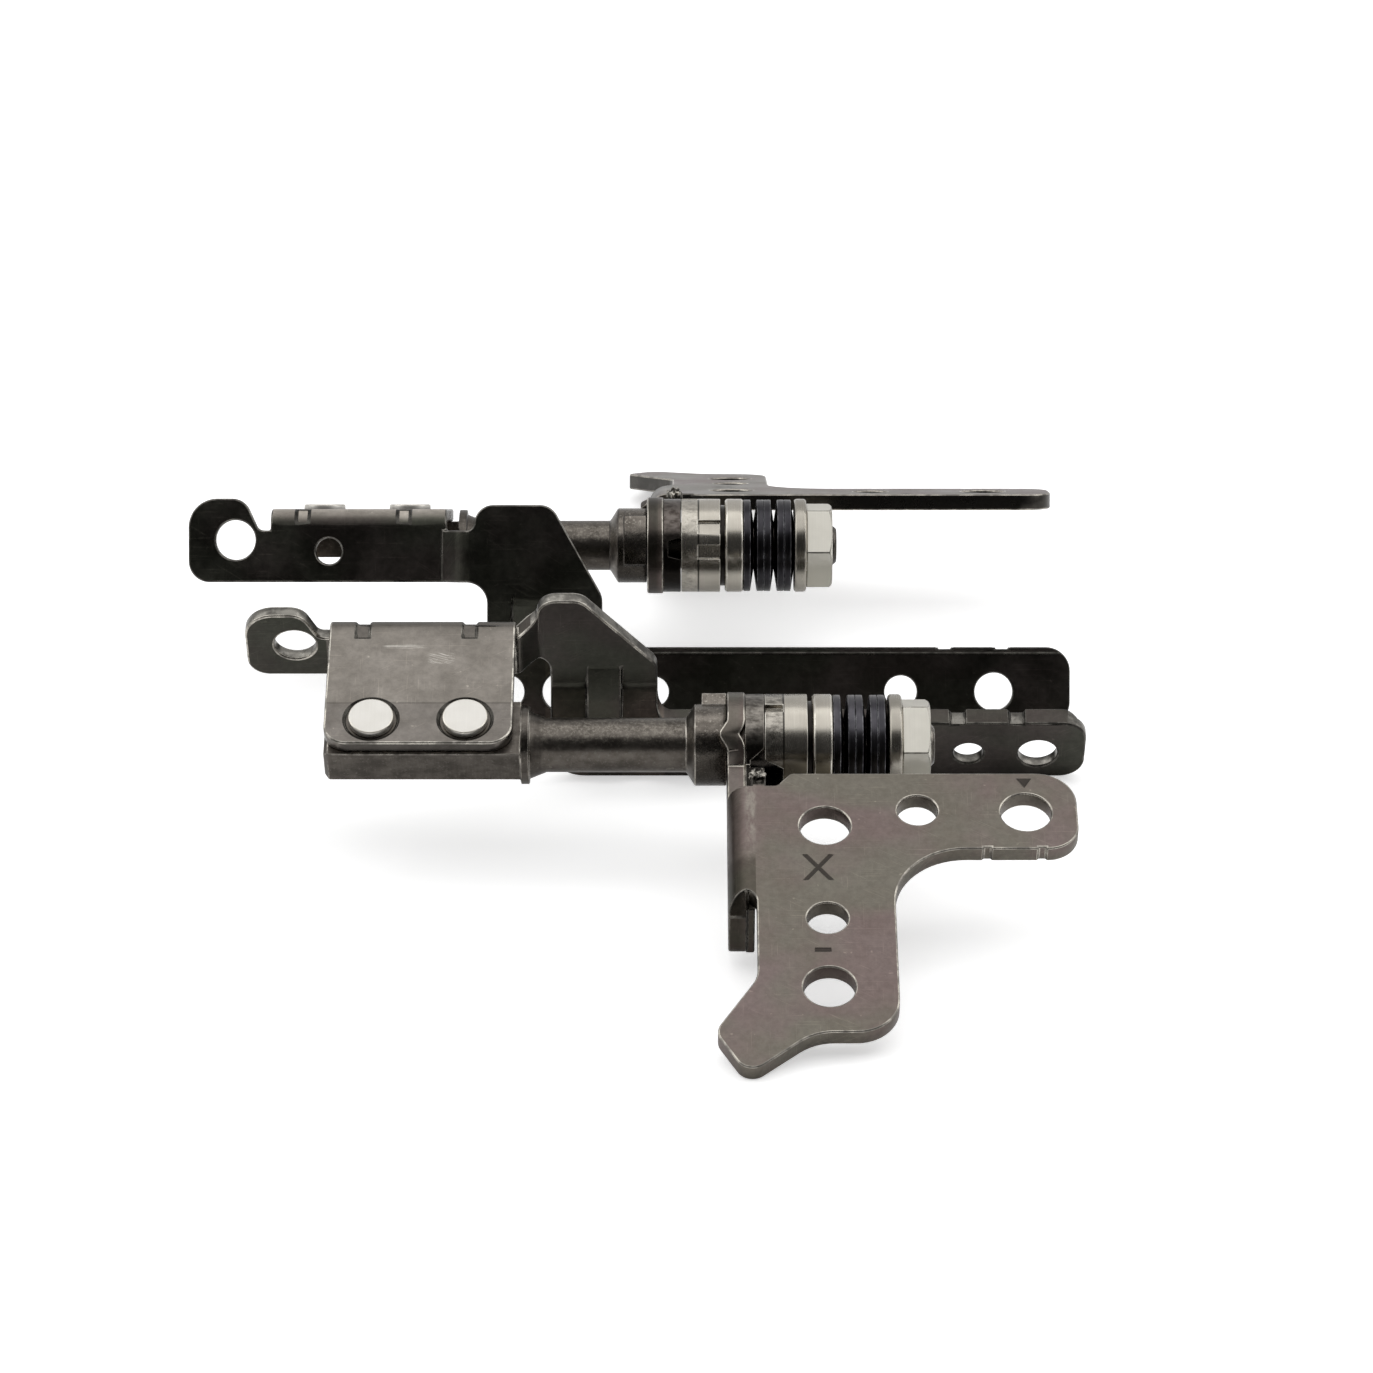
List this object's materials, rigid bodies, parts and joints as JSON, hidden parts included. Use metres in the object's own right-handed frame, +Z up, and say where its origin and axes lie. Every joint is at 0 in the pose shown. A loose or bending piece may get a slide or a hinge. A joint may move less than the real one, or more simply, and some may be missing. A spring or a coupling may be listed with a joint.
{
  "type": "laptop hinge pair",
  "caption": "Pair of mirrored friction hinges for a laptop lid: pressed base and display brackets on a shaft with cams, spring discs and a nut.",
  "frame": {"origin": "on the floor, under the middle of the pair's box", "axes": "+X along both shafts towards the nuts, +Y from the left hinge to the right one, +Z up"},
  "size_m": [0.0558, 0.0848, 0.0139],
  "materials": {
    "bracket": "satin black-nickel plate, worn brighter at the edges",
    "shaft": "dark plated steel, turned",
    "rivet": "pale nickel, satin",
    "cam": "bare hardened steel, oiled",
    "washer": "bright nickel",
    "spring": "blue-black spring steel",
    "nut": "pale warm nickel"
  },
  "bodies": {
    "bases": {"left_base_bracket": "bracket", "left_fixed_cam": "cam", "right_base_bracket": "bracket", "right_fixed_cam": "cam"},
    "left_display": {"left_display_bracket": "bracket", "left_moving_cam": "cam", "left_shaft": "shaft", "left_rivets": "rivet", "left_shim": "washer", "left_friction_washer": "washer", "left_end_washer": "washer", "left_nut": "nut", "left_spring_disc_1": "spring", "left_spring_disc_2": "spring", "left_spring_disc_3": "spring", "left_spring_disc_4": "spring", "left_spring_disc_5": "spring"},
    "right_display": {"right_display_bracket": "bracket", "right_moving_cam": "cam", "right_shaft": "shaft", "right_rivets": "rivet", "right_shim": "washer", "right_friction_washer": "washer", "right_end_washer": "washer", "right_nut": "nut", "right_spring_disc_1": "spring", "right_spring_disc_2": "spring", "right_spring_disc_3": "spring", "right_spring_disc_4": "spring", "right_spring_disc_5": "spring"}
  },
  "joints": [
    {"name": "left_hinge", "type": "hinge", "parent": "bases", "child": "left_display", "pos_m": [0, -0.01568, 0.00747], "axis": [1, 0, 0], "range_deg": [-94, 46]},
    {"name": "right_hinge", "type": "hinge", "parent": "bases", "child": "right_display", "pos_m": [0, 0.01362, 0.00767], "axis": [-1, 0, 0], "range_deg": [-94, 46]}
  ]
}
